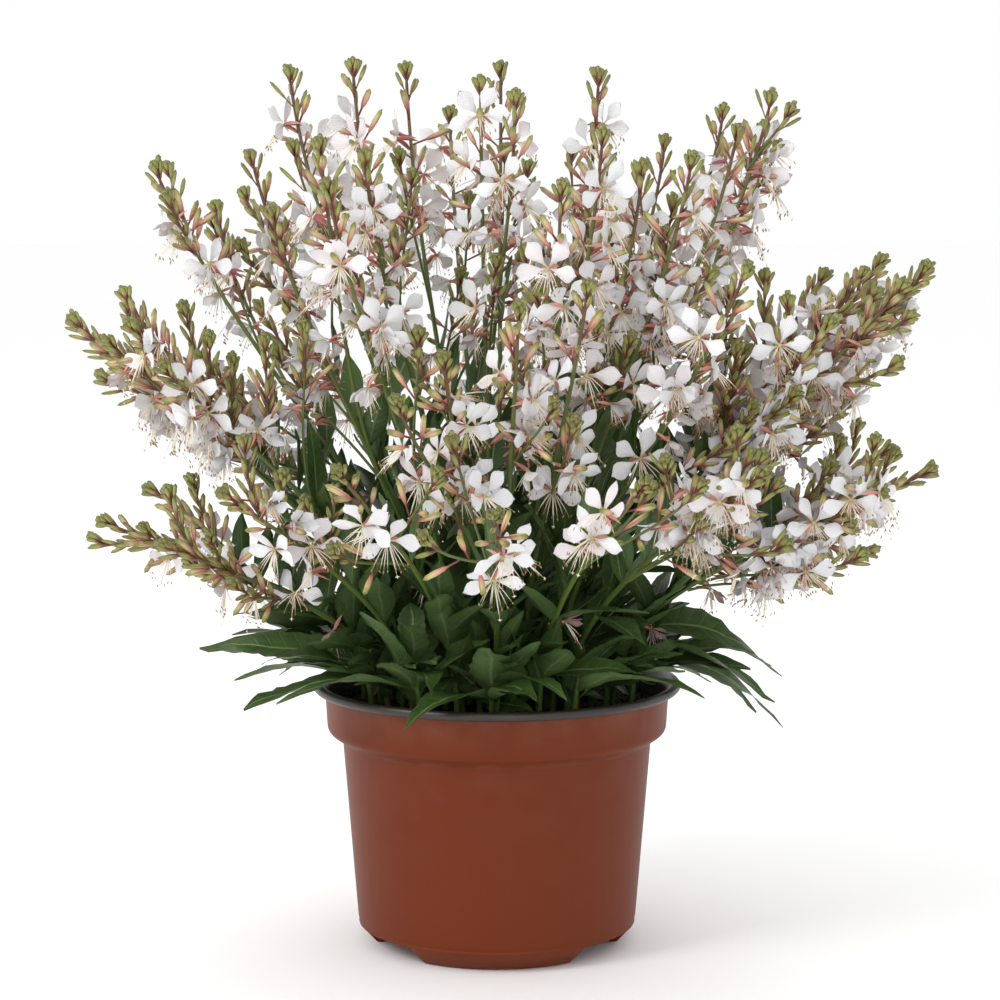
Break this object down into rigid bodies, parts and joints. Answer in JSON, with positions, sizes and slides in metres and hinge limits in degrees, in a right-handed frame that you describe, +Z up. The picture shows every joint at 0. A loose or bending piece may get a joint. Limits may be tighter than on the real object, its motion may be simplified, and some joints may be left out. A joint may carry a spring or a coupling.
{
  "type": "potted gaura",
  "caption": "Bushy flowering gaura in a round nursery pot: slender spikes of four-petalled white blooms and buds above toothed basal leaves.",
  "frame": {"origin": "centre of the pot's three feet, on the surface it stands on", "axes": "+Z up, -Y towards the front view, +X to the right of the front view"},
  "size_m": [0.4433, 0.4494, 0.4537],
  "materials": {
    "pot_plastic": "satin terracotta plastic, dark grey lip and inside",
    "peat": "matt fibrous peat",
    "flowering_stem": "fresh green to reddish stem with small leaves",
    "foliage": "semi-gloss dark green leaf with pale midrib",
    "petals": "soft translucent white, faintly pink at the base",
    "sepals_and_tubes": "matt salmon pink",
    "buds": "satin yellow-green with a salmon foot",
    "stamens": "cream threads with tan tips"
  },
  "bodies": {
    "root": {"leafy_shoot_01": "foliage", "leafy_shoot_02": "foliage", "leafy_shoot_03": "foliage", "leafy_shoot_04": "foliage", "leafy_shoot_05": "foliage", "leafy_shoot_06": "foliage", "leafy_shoot_07": "foliage", "leafy_shoot_08": "foliage", "leafy_shoot_09": "foliage", "leafy_shoot_10": "foliage", "leafy_shoot_11": "foliage", "pot": "pot_plastic", "soil": "peat", "spray_01": "flowering_stem", "spray_02": "flowering_stem", "spray_03": "flowering_stem", "spray_04": "flowering_stem", "spray_05": "flowering_stem", "spray_06": "flowering_stem", "spray_07": "flowering_stem", "spray_08": "flowering_stem", "spray_09": "flowering_stem", "spray_10": "flowering_stem", "spray_11": "flowering_stem", "spray_12": "flowering_stem", "spray_13": "flowering_stem", "spray_14": "flowering_stem", "spray_15": "flowering_stem", "spray_16": "flowering_stem", "spray_17": "flowering_stem", "spray_18": "flowering_stem", "spray_19": "flowering_stem", "spray_20": "flowering_stem", "spray_21": "flowering_stem", "spray_22": "flowering_stem", "spray_23": "flowering_stem", "spray_24": "flowering_stem", "spray_25": "flowering_stem", "spray_26": "flowering_stem", "spray_27": "flowering_stem", "spray_28": "flowering_stem", "spray_29": "flowering_stem", "spray_30": "flowering_stem", "spray_31": "flowering_stem", "spray_32": "flowering_stem", "spray_33": "flowering_stem", "spray_34": "flowering_stem", "spray_35": "flowering_stem", "spray_36": "flowering_stem", "spray_37": "flowering_stem", "spray_38": "flowering_stem", "spray_39": "flowering_stem", "spray_40": "flowering_stem", "spray_41": "flowering_stem", "spray_42": "flowering_stem", "spray_43": "flowering_stem", "spray_44": "flowering_stem", "spray_45": "flowering_stem"}
  },
  "joints": []
}
